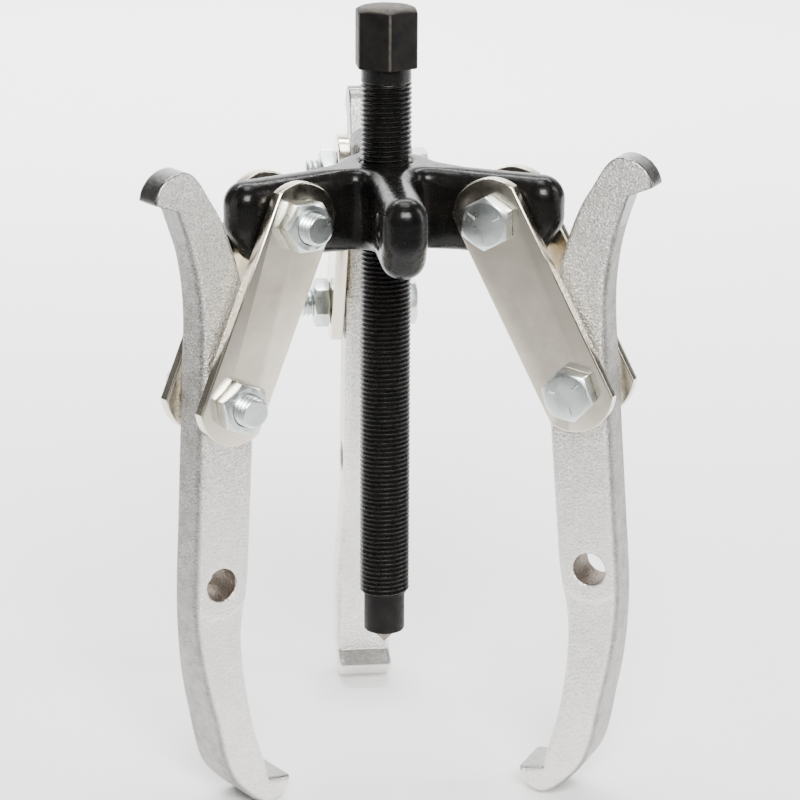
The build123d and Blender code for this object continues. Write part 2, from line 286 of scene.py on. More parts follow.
def surface(name, field, low, high, step, material, slot):
    """Mesh of a field's zero level: one point in each grid cell that it crosses, pulled onto it."""
    axes = [np.arange(low[i] - 2 * step, high[i] + 2 * step, step) for i in range(3)]
    values = field(axes[0][:, None, None], axes[1][None, :, None], axes[2][None, None, :])
    values = np.broadcast_to(values, [len(axis) for axis in axes])
    cells = tuple(size - 1 for size in values.shape)
    total = np.zeros((*cells, 3))
    crossings = np.zeros(cells)
    corners = [(i, j, k) for i in (0, 1) for j in (0, 1) for k in (0, 1)]

    def at(corner):
        return values[tuple(slice(c, c + n) for c, n in zip(corner, cells))]

    for corner in corners:
        for axis in range(3):
            if corner[axis]:
                continue
            other = tuple(c + (i == axis) for i, c in enumerate(corner))
            here, there = at(corner), at(other)
            crossed = (here < 0) != (there < 0)
            share = np.where(crossed, here / np.where(crossed, here - there, 1), 0)
            for i in range(3):
                total[..., i] += crossed * corner[i] + (share if i == axis else 0)
            crossings += crossed
    used = crossings > 0
    number = np.full(cells, -1)
    number[used] = np.arange(used.sum())
    places = np.argwhere(used) + total[used] / crossings[used][:, None]
    points = np.array([axis[0] for axis in axes]) + places * step
    faces = []
    for axis in range(3):
        first, second = (axis + 1) % 3, (axis + 2) % 3
        near = [slice(1, -1)] * 3
        far = [slice(1, -1)] * 3
        near[axis], far[axis] = slice(0, -1), slice(1, None)
        here, there = values[tuple(near)], values[tuple(far)]
        at_edge = np.argwhere((here < 0) != (there < 0))
        leaves = (here < 0)[tuple(at_edge.T)]
        at_edge[:, first] += 1
        at_edge[:, second] += 1
        quad = []
        for shift_first, shift_second in ((1, 1), (0, 1), (0, 0), (1, 0)):
            cell = at_edge.copy()
            cell[:, first] -= shift_first
            cell[:, second] -= shift_second
            quad.append(number[tuple(cell.T)])
        quad = np.stack(quad, axis=1)
        faces += quad[leaves].tolist()
        faces += quad[~leaves][:, ::-1].tolist()
    return new_object(name, pulled_onto(field, points, step), faces, material, slot)


# ---- material nodes -------------------------------------------------------------------------------
def shader_material(name, **sockets):
    """A material with a Principled shader and its even values set on the shader's own sockets."""
    material = bpy.data.materials.new(name)
    material.use_nodes = True
    shader = material.node_tree.nodes["Principled BSDF"]
    for socket, value in sockets.items():
        shader.inputs[socket.replace("_", " ")].default_value = value
    return material


def node(material, kind, **inputs):
    """A node of a material. A socket is linked to an output, or set to a value."""
    made = material.node_tree.nodes.new(kind)
    for socket, value in inputs.items():
        target = made.inputs[socket.replace("_", " ")]
        if isinstance(value, bpy.types.NodeSocket):
            material.node_tree.links.new(value, target)
        else:
            target.default_value = value
    return made


def link(material, output, socket):
    shader = material.node_tree.nodes["Principled BSDF"]
    material.node_tree.links.new(output, shader.inputs[socket])


def place(material):
    return node(material, "ShaderNodeTexCoord").outputs["Object"]


def noise(material, size, detail=2.0, roughness=0.5):
    """Noise with features of about a size in millimetres."""
    texture = node(material, "ShaderNodeTexNoise", Vector=place(material), Scale=1 / (size * MM),
                   Detail=detail, Roughness=roughness)
    return texture.outputs["Fac"]


def mottled(material, size, detail, low, high, roughness=0.5, ends=(0.3, 0.7)):
    """Two colours or greys that follow a noise: one below its lower end, the other above its upper."""
    spread = node(material, "ShaderNodeValToRGB", Fac=noise(material, size, detail, roughness))
    for element, position, tone in zip(spread.color_ramp.elements, ends, (low, high)):
        element.position = position
        element.color = (*tone, 1.0) if isinstance(tone, tuple) else (tone, tone, tone, 1.0)
    return spread.outputs["Color"]


def bump(material, height, strength, distance, under=None):
    inputs = {"Height": height, "Strength": strength, "Distance": distance * MM}
    if under is not None:
        inputs["Normal"] = under
    return node(material, "ShaderNodeBump", **inputs).outputs["Normal"]


def spread_share(material, value, low, high):
    """0 to 1 as a length goes from low to high, in millimetres."""
    spread = node(material, "ShaderNodeMapRange", Value=value)
    spread.inputs["From Min"].default_value = low * MM
    spread.inputs["From Max"].default_value = high * MM
    return spread.outputs["Result"]


def radius_share(material, low, high):
    """0 to 1 as a point's distance from the piece's own Z axis goes from low to high."""
    split = node(material, "ShaderNodeSeparateXYZ", Vector=place(material))
    flat = node(material, "ShaderNodeCombineXYZ", X=split.outputs["X"], Y=split.outputs["Y"])
    length = node(material, "ShaderNodeVectorMath", Vector=flat.outputs["Vector"])
    length.operation = "LENGTH"
    return spread_share(material, length.outputs["Value"], low, high)


def axis_share(material, axis, low, high):
    """0 to 1 as a point's own X, Y or Z goes from low to high."""
    split = node(material, "ShaderNodeSeparateXYZ", Vector=place(material))
    return spread_share(material, split.outputs[axis], low, high)


def mesh_share(material, name):
    """A share that a mesh carries at its points."""
    made = node(material, "ShaderNodeAttribute")
    made.attribute_name = name
    return made.outputs["Fac"]


def mixed(material, factor, low, high, blend="MIX"):
    """Colour low where the factor is 0, and high, or its blend with low, where it is 1."""
    made = node(material, "ShaderNodeMix")
    made.data_type = "RGBA"
    made.blend_type = blend
    material.node_tree.links.new(factor, made.inputs["Factor"])
    for socket, value in (("A", low), ("B", high)):
        target = [entry for entry in made.inputs if entry.name == socket and entry.type == "RGBA"][0]
        if isinstance(value, tuple):
            target.default_value = (*value, 1.0)
        else:
            material.node_tree.links.new(value, target)
    return [entry for entry in made.outputs if entry.type == "RGBA"][0]


# ---- the object's materials: noise sizes are in millimetres, colours are linear --------------------
def black_paint():
    """Thick gloss enamel over a forging: slow waves and fine peel, brownish where it is thin."""
    paint = shader_material("black_gloss_paint", Specular_IOR_Level=0.2)
    link(paint, mottled(paint, 9, 4, (0.002, 0.002, 0.002), (0.007, 0.006, 0.005), ends=(0.3, 0.75)),
         "Base Color")
    link(paint, mottled(paint, 2.2, 6, 0.19, 0.32, roughness=0.6), "Roughness")
    waves = bump(paint, noise(paint, 3.5, 2), 0.5, 0.30)
    link(paint, bump(paint, noise(paint, 0.8, 3), 0.35, 0.06, waves), "Normal")
    return paint


def oiled_steel():
    """Oiled black oxide: near-black flanks, crests paler, partly rubbed and partly a painted highlight, a brown
    cast in patches.
    """
    steel = shader_material("oiled_black_steel", Metallic=0.35, Specular_IOR_Level=0.35)
    patches = mottled(steel, 6, 4, (0.003, 0.003, 0.003), (0.008, 0.007, 0.006), ends=(0.35, 0.7))
    # paler crests: partly rubbed wear, partly a painted highlight along the thread's crests
    rubbed_and_sheen = mottled(steel, 1.8, 4, (0.008, 0.0075, 0.007), (0.030, 0.026, 0.022), ends=(0.4, 0.65))
    crest = radius_share(steel, THREAD_RADIUS - 0.2, THREAD_RADIUS - 0.02)
    link(steel, mixed(steel, crest, patches, rubbed_and_sheen), "Base Color")
    link(steel, mottled(steel, 1.2, 5, 0.22, 0.40), "Roughness")
    link(steel, bump(steel, noise(steel, 0.5, 3), 0.2, 0.03), "Normal")
    return steel


def head_steel():
    """The screw's head and nose: a duller, browner oxide, worn on the crown and along the corners."""
    steel = shader_material("black_oxide_head", Metallic=0.1, Specular_IOR_Level=0.1)
    dark = mottled(steel, 4, 5, (0.005, 0.0047, 0.0047), (0.012, 0.011, 0.0105))
    worn = mottled(steel, 2.5, 6, (0.035, 0.030, 0.025), (0.09, 0.078, 0.066), roughness=0.6)
    crown = axis_share(steel, "Z", HEAD_TOP - 1.6, HEAD_TOP - 0.5)
    corner = SCREW_ACROSS_FLATS / 2 / cos(radians(30))
    corners = radius_share(steel, corner - 0.30, corner - 0.14)
    link(steel, mixed(steel, corners, mixed(steel, crown, dark, worn), worn), "Base Color")
    link(steel, mottled(steel, 1.5, 5, 0.42, 0.58), "Roughness")
    link(steel, bump(steel, noise(steel, 0.35, 4, 0.6), 0.35, 0.04), "Normal")
    return steel


def point_steel():
    """Bare hardened steel with a brown temper film and faint marks."""
    steel = shader_material("bare_point_steel", Metallic=0.8)
    link(steel, mottled(steel, 1.5, 4, (0.10, 0.08, 0.06), (0.22, 0.18, 0.14)), "Base Color")
    link(steel, mottled(steel, 0.6, 4, 0.3, 0.45), "Roughness")
    link(steel, bump(steel, noise(steel, 0.3, 3), 0.2, 0.03), "Normal")
    return steel


def blasted_steel():
    """Shot-blasted forging with painted shade on its outer edge, ground smooth at the hook and the lip."""
    dent_size, bore_brown_and_shade, ground_roughness = 0.8, (0.20, 0.16, 0.125), (0.27, 0.27, 0.27)
    steel = shader_material("shot_blasted_steel", Metallic=1.0)
    ground, outer_edge_shade, bore = (mesh_share(steel, name) for name in ("ground", "outer_edge_shade", "bore"))
    face = mottled(steel, 6, 5, (0.90, 0.875, 0.82), (0.99, 0.97, 0.92), roughness=0.6)
    # painted shade: the outer edge gets a much darker grey, standing in for the shade that falls on it
    edge = mottled(steel, 4, 5, (0.28, 0.27, 0.25), (0.44, 0.425, 0.40), roughness=0.6)
    grain = mottled(steel, 0.5, 2, 0.25, 1.0, roughness=0.7, ends=(0.38, 0.60))
    blasted = mixed(steel, mesh_share(steel, "grain"), mixed(steel, outer_edge_shade, face, edge), grain, "MULTIPLY")
    milled = mottled(steel, 1.5, 5, (0.17, 0.165, 0.16), (0.27, 0.265, 0.26))
    bare = mixed(steel, ground, blasted, milled)
    # inside the holes a dark brown: partly the bare bore's own colour, partly painted shade of the recess
    link(steel, mixed(steel, bore, bare, bore_brown_and_shade), "Base Color")
    rough = mottled(steel, 0.8, 4, 0.34, 0.55, roughness=0.6)
    link(steel, mixed(steel, ground, rough, ground_roughness), "Roughness")
    dents = node(steel, "ShaderNodeTexVoronoi", Vector=place(steel), Scale=1 / (dent_size * MM))
    level = (0.5, 0.5, 0.5)
    dented = bump(steel, mixed(steel, ground, dents.outputs["Distance"], level), 1.0, 0.20)
    grained = bump(steel, mixed(steel, ground, noise(steel, 0.55, 3, 0.6), level), 1.0, 0.18, dented)
    link(steel, bump(steel, noise(steel, 7, 2), 0.4, 0.6, grained), "Normal")
    return steel


def bright_plate():
    """Bright plated flat bar: nearly a mirror, with faint rolling waves and a fine grain."""
    plate = shader_material("bright_plate", Metallic=1.0)
    link(plate, mottled(plate, 14, 4, (0.69, 0.63, 0.52), (0.84, 0.775, 0.65)), "Base Color")
    link(plate, mottled(plate, 3.0, 6, 0.14, 0.26, roughness=0.65, ends=(0.3, 0.75)), "Roughness")
    waves = bump(plate, noise(plate, 12, 2), 0.45, 0.22)
    link(plate, bump(plate, noise(plate, 0.4, 4), 0.10, 0.01, waves), "Normal")
    return plate


def zinc_plate():
    """Bright zinc plate: a cool silver with soft mottling."""
    zinc = shader_material("zinc_plate", Metallic=1.0)
    link(zinc, mottled(zinc, 4, 3, (0.66, 0.71, 0.69), (0.80, 0.85, 0.83)), "Base Color")
    link(zinc, mottled(zinc, 4, 3, 0.26, 0.31), "Roughness")
    link(zinc, bump(zinc, noise(zinc, 1.5, 2), 0.05, 0.008), "Normal")
    return zinc


PAINT, THREAD_STEEL, HEAD_STEEL, POINT_STEEL = black_paint(), oiled_steel(), head_steel(), point_steel()
JAW_STEEL, STRAP_PLATE, ZINC = blasted_steel(), bright_plate(), zinc_plate()


# ---- outlines -------------------------------------------------------------------------------------
def unit(vector):
    vector = np.asarray(vector, float)
    return vector / np.linalg.norm(vector)


def curve_through(points, start_direction, end_direction, per_span=12):
    """Points along a smooth curve through the given ones, with the first but not the last."""
    points = np.array(points, float)
    steps = np.diff(points, axis=0)
    spans = np.linalg.norm(steps, axis=1)
    directions = [unit(start_direction)]
    for i in range(1, len(spans)):
        directions.append(unit(steps[i - 1] * spans[i] / spans[i - 1] + steps[i] * spans[i - 1] / spans[i]))
    directions.append(unit(end_direction))
    share = np.linspace(0, 1, per_span, endpoint=False)[:, None]
    pieces = []
    for i, span in enumerate(spans):
        rise = share**2 * (3 - 2 * share)
        leave = share * (1 - share)**2 * span
        arrive = share**2 * (share - 1) * span
        pieces.append(points[i] * (1 - rise) + points[i + 1] * rise + directions[i] * leave
                      + directions[i + 1] * arrive)
    return np.concatenate(pieces)


def arc_through(start, via, end, count=10):
    """Points along the arc through three points, with the first but not the last."""
    start, via, end = (np.array(point, float) for point in (start, via, end))
    sides = 2 * np.array([via - start, end - start])
    centre = np.linalg.solve(sides, [via @ via - start @ start, end @ end - start @ start])
    angles = [atan2(*(point - centre)[::-1]) for point in (start, via, end)]
    first = (angles[1] - angles[0] + pi) % (2 * pi) - pi
    second = (angles[2] - angles[1] + pi) % (2 * pi) - pi
    sweep = angles[0] + (first + second) * np.linspace(0, 1, count, endpoint=False)
    radius = np.linalg.norm(start - centre)
    return centre + radius * np.column_stack([np.cos(sweep), np.sin(sweep)])


def rounded_corners(corners, radius, count=8):
    """A closed outline with each corner turned by an arc of one radius."""
    corners = np.array(corners, float)
    points = []
    for i, corner in enumerate(corners):
        before, after = unit(corners[i - 1] - corner), unit(corners[(i + 1) % len(corners)] - corner)
        half = np.arccos(before @ after) / 2
        middle = unit(before + after)
        run = radius / tan(half)
        via = corner + middle * (radius / sin(half) - radius)
        start, end = corner + before * run, corner + after * run
        points += [*arc_through(start, via, end, count), end]
    return np.array(points)


# ---- forcing screw --------------------------------------------------------------------------------
def screw_thread():
    """The thread, fading in above the nose and out at the collar under the head."""
    root = THREAD_RADIUS - THREAD_DEPTH
    collar_blend, cut_fade, into_head = 0.4, 0.8, 0.3

    def radius_at(height):
        lead_in = root + np.maximum(height - NOSE_LENGTH, 0)
        runs_out = smooth_step(height, COLLAR_START - collar_blend, COLLAR_START + collar_blend)
        return np.minimum(lead_in, THREAD_RADIUS) * (1 - runs_out) + COLLAR_RADIUS * runs_out

    def depth_at(height):
        cut = np.minimum(THREAD_DEPTH, radius_at(height) - root)
        return cut * (1 - smooth_step(height, COLLAR_START - cut_fade, COLLAR_START + cut_fade))

    return threaded_rod("screw_thread", THREAD_PITCH, NOSE_LENGTH, HEAD_START + into_head, radius_at,
                        depth_at, THREAD_STEEL, "oiled_black_steel")


def screw_head():
    """The hexagon with its turned, worn crown, and the plain nose with the socket for the point."""
    face_radius, shoulder_radius = 7.3, SCREW_ACROSS_FLATS / 2 - 0.1
    sag, shoulder_drop, slope = 0.3, 1.0, 0.52
    edge, end_round, inside_collar, inside_thread = 0.12, 0.5, 0.5, 0.6
    outline = hexagon_points(SCREW_ACROSS_FLATS, corner_round=0.7, turn=30.0)
    reach = np.linalg.norm(outline, axis=1)
    directions = outline / reach[:, None]
    side_top = HEAD_TOP - shoulder_drop - np.maximum(reach - shoulder_radius, 0) * slope
    # a hexagon's rings are shares of its full outline, shrinking round its edges
    rings = [
        circle_ring(COLLAR_RADIUS - inside_collar, HEAD_START, directions),
        with_heights(outline * 0.965, HEAD_START),
        with_heights(outline * 0.99, HEAD_START + edge),
        with_heights(outline, HEAD_START + end_round),
        with_heights(outline, side_top - end_round),
        with_heights(outline * 0.995, side_top - edge),
        with_heights(outline * 0.985, side_top + 0.05),
        circle_ring(shoulder_radius - 0.25, HEAD_TOP - shoulder_drop + 0.2, directions),
        circle_ring(face_radius + 0.5, HEAD_TOP - sag - 0.16, directions),
        circle_ring(face_radius, HEAD_TOP - sag, directions),
        circle_ring(face_radius * 0.6, HEAD_TOP - sag * 0.36, directions),
        circle_ring(face_radius * 0.25, HEAD_TOP - sag * 0.06, directions),
    ]
    head = clean(new_object("screw_head", *rings_mesh(rings), HEAD_STEEL, "oiled_black_steel"), 25.0)
    around = even_directions(96)
    nose_rings = [
        circle_ring(SOCKET_RADIUS, SOCKET_DEPTH, around),
        circle_ring(SOCKET_RADIUS, 0, around),
        circle_ring(NOSE_RADIUS - NOSE_EDGE, 0, around),
        circle_ring(NOSE_RADIUS - 0.3 * NOSE_EDGE, 0.3 * NOSE_EDGE, around),
        circle_ring(NOSE_RADIUS, NOSE_EDGE, around),
        circle_ring(NOSE_RADIUS, NOSE_LENGTH - end_round, around),
        circle_ring(NOSE_RADIUS, NOSE_LENGTH + inside_thread, around),
    ]
    nose = clean(new_object("screw_nose", *rings_mesh(nose_rings), HEAD_STEEL, "oiled_black_steel"), 30.0)
    return head, nose


# ---- fasteners ------------------------------------------------------------------------------------
def grade_dash(angle):
    """A raised radial bar on a bolt's head, with rounded ends and sloping sides."""
    inner, outer, half_width, rise, sunk = 3.1, 5.9, 0.36, 0.2, 0.1
    ends = [(outer - half_width, -90, 90), (inner + half_width, 90, 270)]
    turn = radians(angle)

    def ring(spread, height):
        points = []
        for centre, start, stop in ends:
            for step in np.radians(np.linspace(start, stop, 7)):
                x, y = centre + spread * cos(step), spread * sin(step)
                points.append((x * cos(turn) - y * sin(turn), x * sin(turn) + y * cos(turn), height))
        return np.array(points)

    rings = [
        ring(half_width, BOLT_HEAD_HEIGHT - sunk),
        ring(half_width, BOLT_HEAD_HEIGHT),
        ring(half_width * 0.7, BOLT_HEAD_HEIGHT + rise * 0.8),
        ring(half_width * 0.35, BOLT_HEAD_HEIGHT + rise),
    ]
    return new_object("grade_dash", *rings_mesh(rings), ZINC, "zinc_plated_steel")


def bolt():
    """A hexagon bolt along Z, its head's seat at zero, with a cut thread where it leaves its nut."""
    face_radius, slope, edge = BOLT_ACROSS_FLATS / 2 * 0.93, tan(radians(30)), 0.12
    washer_edge, face_edge, inside_shank, overlap = 0.15, 0.15, 0.4, 0.1
    outline = hexagon_points(BOLT_ACROSS_FLATS)
    reach = np.linalg.norm(outline, axis=1)
    directions = outline / reach[:, None]
    side_top = BOLT_HEAD_HEIGHT - (reach - face_radius) * slope
    rings = [
        circle_ring(BOLT_RADIUS - inside_shank, 0, directions),
        circle_ring(WASHER_RADIUS - washer_edge, 0, directions),
        circle_ring(WASHER_RADIUS, edge, directions),
        circle_ring(WASHER_RADIUS, WASHER_FACE, directions),
        with_heights(outline * 0.985, WASHER_FACE),
        with_heights(outline, WASHER_FACE + washer_edge),
        with_heights(outline, side_top - edge),
        with_heights(outline * 0.992, side_top + 0.03),
        circle_ring(face_radius + face_edge, BOLT_HEAD_HEIGHT - 0.07, directions),
        circle_ring(face_radius - face_edge, BOLT_HEAD_HEIGHT, directions),
        circle_ring(face_radius * 0.4, BOLT_HEAD_HEIGHT - 0.05, directions),
    ]
    head = clean(new_object("bolt_head", *rings_mesh(rings), ZINC, "zinc_plated_steel"), 25.0)
    tip = -(2 * STACK_HALF + NUT_HEIGHT + BOLT_STICK_OUT)
    thread_top = -2 * STACK_HALF - NUT_HEIGHT / 2
    tip_chamfer, chamfer_slope, fade_in, least_depth = 0.7, 1.2, 0.6, 0.02
    around = even_directions(64)
    shank_rings = [
        circle_ring(BOLT_RADIUS, overlap, around),
        circle_ring(BOLT_RADIUS, thread_top + overlap / 2, around),
    ]
    shank = clean(new_object("bolt_shank", *rings_mesh(shank_rings), ZINC, "zinc_plated_steel"))

    def radius_at(height):
        return np.minimum(BOLT_RADIUS - tip_chamfer + (height - tip) * chamfer_slope, BOLT_RADIUS)

    def depth_at(height):
        missing = np.maximum(fade_in - (height - tip), 0)
        return np.clip(BOLT_THREAD_DEPTH - missing, least_depth, BOLT_THREAD_DEPTH)

    thread = threaded_rod("bolt_thread", BOLT_PITCH, tip, thread_top, radius_at, depth_at, ZINC,
                          "zinc_plated_steel", segments=64)
    return joined("bolt", [head, shank, thread, *(grade_dash(angle) for angle in (0, 120, 240))])


def nut():
    """A jam nut along Z, hanging from its seat at zero, turned off at both faces."""
    face_radius, slope = BOLT_ACROSS_FLATS / 2 * 0.95, tan(radians(30))
    bore, mouth, edge, ease = BOLT_RADIUS + 0.04, 0.45, 0.12, 0.03
    outline = hexagon_points(BOLT_ACROSS_FLATS)
    reach = np.linalg.norm(outline, axis=1)
    directions = outline / reach[:, None]
    drop = (reach - face_radius) * slope
    rings = [
        circle_ring(bore, -mouth, directions),
        circle_ring(bore + mouth, 0, directions),
        circle_ring(face_radius - 0.1, 0, directions),
        with_heights(outline * 0.992, -drop + ease),
        with_heights(outline, -drop - edge),
        with_heights(outline, -NUT_HEIGHT + drop + edge),
        with_heights(outline * 0.992, -NUT_HEIGHT + drop - ease),
        circle_ring(face_radius - 0.1, -NUT_HEIGHT, directions),
        circle_ring(bore + mouth, -NUT_HEIGHT, directions),
        circle_ring(bore, -NUT_HEIGHT + mouth, directions),
    ]
    return clean(new_object("nut", *rings_mesh(rings, closed=True), ZINC, "zinc_plated_steel"), 25.0)


# ---- yoke -----------------------------------------------------------------------------------------
def yoke():
    """Hub and arms as one forging: fillets between the arms, and ends rounded like a capsule."""
    toe_setback, toe_rise, corner_round, inward = 7.0, 11.0, 7.0, -60.0
    hub_edge, arm_edge, arm_edge_from = 3.2, 6.3, (14, 27)
    hole_edge, bore_edge, bore_mouth, grid_step = 0.9, 0.6, 0.9, 0.65
    side_view = rounded_corners([
        (inward, YOKE_BOTTOM), (ARM_REACH - toe_setback, YOKE_BOTTOM), (ARM_REACH, YOKE_BOTTOM + toe_rise),
        (ARM_REACH, YOKE_TOP), (inward, YOKE_TOP)], corner_round)
    pivot = Vector(JOINTS["rear_link_swing"]["pos_m"]) / MM
    bore_radius, web_blend = THREAD_RADIUS + 0.07, 6.0

    def field(x, y, z):
        radial = np.hypot(x, y)
        plan = radial - HUB_RADIUS
        furthest = np.full(np.broadcast(x, y).shape, -np.inf)
        holes = np.inf
        for azimuth in ARM_AZIMUTHS:
            out_x, out_y = cos(radians(azimuth)), sin(radians(azimuth))
            along, across = x * out_x + y * out_y, x * out_y - y * out_x
            plan = smooth_min(plan, np.hypot(np.minimum(along, 0), across) - ARM_THICKNESS / 2, web_blend)
            furthest = np.maximum(furthest, along)
            holes = np.minimum(holes, np.hypot(along - pivot.y, z - pivot.z))
        side = outline_distance(side_view, furthest, z)
        edge_round = hub_edge + (arm_edge - hub_edge) * smooth_step(radial, *arm_edge_from)
        body = rounded_and(plan, side, edge_round)
        body = smooth_max(body, PIN_HOLE_RADIUS - holes, hole_edge)
        flare = np.maximum(bore_mouth - (YOKE_TOP - z), 0)
        return smooth_max(body, bore_radius - radial + flare, bore_edge)

    low = (-ARM_REACH, -ARM_REACH, YOKE_BOTTOM)
    high = (ARM_REACH, ARM_REACH, YOKE_TOP)
    return clean(surface("yoke_forging", field, low, high, grid_step, PAINT, "black_paint"), 50.0)


# ---- jaws -----------------------------------------------------------------------------------------
def jaw_outline():
    """Side view of a jaw: x outward, y up, its upper hole at the origin."""
    crown, hook_tip, notch = (17.0, 70.2), (26.3, 61.0), (18.9, 58.6)
    heel, waist_top, lip_root = (-10.4, -20.0), (-10.5, -56.0), (-19.2, -124.6)
    lip_tip, sole, shin, knee = (-27.2, -125.2), (-19.8, -132.9), (9.1, -45.0), (9.5, 5.0)
    return np.concatenate([
        curve_through([crown, (6.9, 60.4), (-2.2, 43.5), (-8.4, 13.0), heel], (-1, 0), (0, -1)),
        [heel],
        curve_through([waist_top, (-8.6, -76.0), (-12.0, -102.0), lip_root], (0, -1), (-0.25, -1)),
        [lip_root],
        arc_through(lip_tip, (-25.4, -130.2), sole),
        curve_through([sole, (-8.2, -125.6), (2.2, -100.0), (8.2, -72.0), shin], (1, 0.1), (0, 1)),
        [shin],
        curve_through([knee, (11.3, 35.0), notch], (0, 1), (0.45, 1)),
        [notch],
        arc_through(hook_tip, (23.4, 67.4), crown),
    ])


def mark_finishes(piece, outline):
    """Gives a jaw's mesh the shares that its material reads: each is 1 where its finish or its painted shade is.
    """
    hook_rise, hook_reach = (59.5, 60.2), (9, 15)
    facet_foot, facet_head, facet_side, past_notch = (48.5, 49.5), (58.2, 58.8), (5, 8), (18, 19)
    lip_top, lip_reach, lip_foot = (124.0, 124.5), (18.5, 19.5), (126.0, 126.6)
    outer_edge_shade_width, ground_width, bore_edge = (0.5, 1.6), (0.15, 0.5), 0.3
    upper_grain, grain_loss, grain_fade = 0.7, 0.45, (0, 60)
    x, y = np.array([vertex.co[:2] for vertex in piece.data.vertices]).T / MM
    facing_out = np.array([vertex.normal.x for vertex in piece.data.vertices])
    inside = -outline_distance(outline, x, y)
    to_hole = np.minimum(np.hypot(x, y), np.hypot(x, y + JAW_HOLE_PITCH))
    hook = smooth_step(y, *hook_rise) * smooth_step(x, *hook_reach)
    above_facet = smooth_step(y, *facet_head) * (1 - smooth_step(x, *past_notch))
    facet = smooth_step(y, *facet_foot) * smooth_step(x, *facet_side) * (1 - above_facet)
    lip = smooth_step(-y, *lip_top) * smooth_step(-x, *lip_reach) * (1 - smooth_step(-y, *lip_foot))
    shares = {
        # painted shade on the outward-facing edge of the outline, where the forging falls into shade
        "outer_edge_shade": (1 - smooth_step(inside, *outer_edge_shade_width)) * smooth_step(facing_out, 0.0, 0.4),
        "ground": (1 - smooth_step(inside, *ground_width)) * np.maximum(np.maximum(hook, facet), lip),
        # where the holes are, for their brown colour and painted shade
        "bore": 1 - smooth_step(to_hole, PIN_HOLE_RADIUS, PIN_HOLE_RADIUS + bore_edge),
        "grain": upper_grain - grain_loss * smooth_step(-y, *grain_fade),
    }
    for name, share in shares.items():
        attribute = piece.data.attributes.new(name, "FLOAT", "POINT")
        attribute.data.foreach_set("value", share.astype(np.float32))


def jaw():
    """A two-ended jaw about its upper hole, thin at the hook and wide at the toe, its edges rounded."""
    bar_half, hook_half, toe_half, grid_step = 6.4, 4.7, 9.2, 0.6
    pad_half, pad_radius, pad_middle, pad_reach, pad_edge, pad_blend = 6.85, 10.5, -0.65, 8.25, 0.4, 0.8
    bar_edge, hook_edge_loss, toe_edge_loss, facet_edge_loss, hole_edge = 2.3, 1.5, 0.8, 0.4, 0.9
    outline = jaw_outline()

    def field(x, y, z):
        side = outline_distance(outline, x, y)
        half = bar_half - (bar_half - hook_half) * smooth_step(y, 8, 70)
        half = half + (toe_half - bar_half) * smooth_step(-y, 64, 108)
        edge_round = bar_edge - hook_edge_loss * smooth_step(y, 44, 58)
        edge_round = edge_round - toe_edge_loss * smooth_step(-y, 112, 122)
        edge_round = edge_round - facet_edge_loss * smooth_step(y, 46, 50) * smooth_step(x, 4, 8)
        body = rounded_and(side, np.abs(z) - half, edge_round)
        down = np.clip(-y, 0, JAW_HOLE_PITCH)
        pad = np.maximum(np.hypot(x, y + down) - pad_radius, np.abs(x - pad_middle) - pad_reach)
        pad = rounded_and(pad, np.abs(z) - pad_half, pad_edge)
        body = smooth_min(body, pad, pad_blend)
        holes = np.minimum(np.hypot(x, y), np.hypot(x, y + JAW_HOLE_PITCH))
        return smooth_max(body, PIN_HOLE_RADIUS - holes, hole_edge)

    low = (outline[:, 0].min(), outline[:, 1].min(), -toe_half)
    high = (outline[:, 0].max(), outline[:, 1].max(), toe_half)
    piece = clean(surface("jaw", field, low, high, grid_step, JAW_STEEL, "blasted_jaw_steel"), 60.0)
    mark_finishes(piece, outline)
    return piece


# ---- assembly -------------------------------------------------------------------------------------
def hinge_frame(joint, up, offset=0.0, turn=0.0):
    """Matrix for a piece drawn about a hinge: z along its axis, y up, moved along z and turned."""
    across = Vector(JOINTS[joint]["axis"]).normalized()
    up = (up - across * up.dot(across)).normalized()
    outward = up.cross(across)
    spin = radians(turn)
    x_axis = outward * cos(spin) + up * sin(spin)
    y_axis = across.cross(x_axis)
    origin = Vector(JOINTS[joint]["pos_m"]) + across * offset * MM
    matrix = Matrix((x_axis, y_axis, across)).transposed().to_4x4()
    return Matrix.Translation(origin) @ matrix


def copy_to(blank, name, matrix, body, replaced):
    """A copy of a blank, placed by a matrix, riding on a body in place of a CAD node."""
    piece = blank.copy()
    piece.data = blank.data.copy()
    piece.data.transform(matrix)
    piece.name = name
    bpy.context.scene.collection.objects.link(piece)
    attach(piece, body)
    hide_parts(replaced)
    return piece


def strap(name):
    """A strap's own mesh with its bevelled rims rounded over, so that they catch the light."""
    bevel_width, bevel_steps, bevel_angles, flat_within = 0.13, 3, (35, 55), 0.5
    piece = frame["nodes"][name].copy()
    piece.data = frame["nodes"][name].data.copy()
    piece.name = f"{name}_bar"
    bpy.context.scene.collection.objects.link(piece)
    piece.data.materials.clear()
    piece.data.materials.append(STRAP_PLATE)
    work = bmesh.new()
    work.from_mesh(piece.data)
    bmesh.ops.remove_doubles(work, verts=work.verts, dist=1e-6)
    bmesh.ops.dissolve_limit(work, angle_limit=radians(flat_within), verts=work.verts, edges=work.edges)
    least, most = np.radians(bevel_angles)
    rims = [edge for edge in work.edges
            if len(edge.link_faces) == 2 and least < edge.calc_face_angle() < most]
    bmesh.ops.bevel(work, geom=rims, offset=bevel_width * MM, segments=bevel_steps, profile=0.5,
                    affect="EDGES", clamp_overlap=True)
    work.to_mesh(piece.data)
    work.free()
    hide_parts(name)
    return clean(piece, 20.0)


def dress(name, material):
    """Gives a CAD node that stays its finished material."""
    part = frame["nodes"][name]
    if not part.data.materials:
        part.data.materials.append(material)
    for slot in part.material_slots:
        slot.material = material


for piece in (screw_thread(), *screw_head()):
    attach(piece, "screw")
    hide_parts("forcing_screw")
dress("screw_point", POINT_STEEL)

forging = yoke()
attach(forging, "yoke")
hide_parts("yoke")

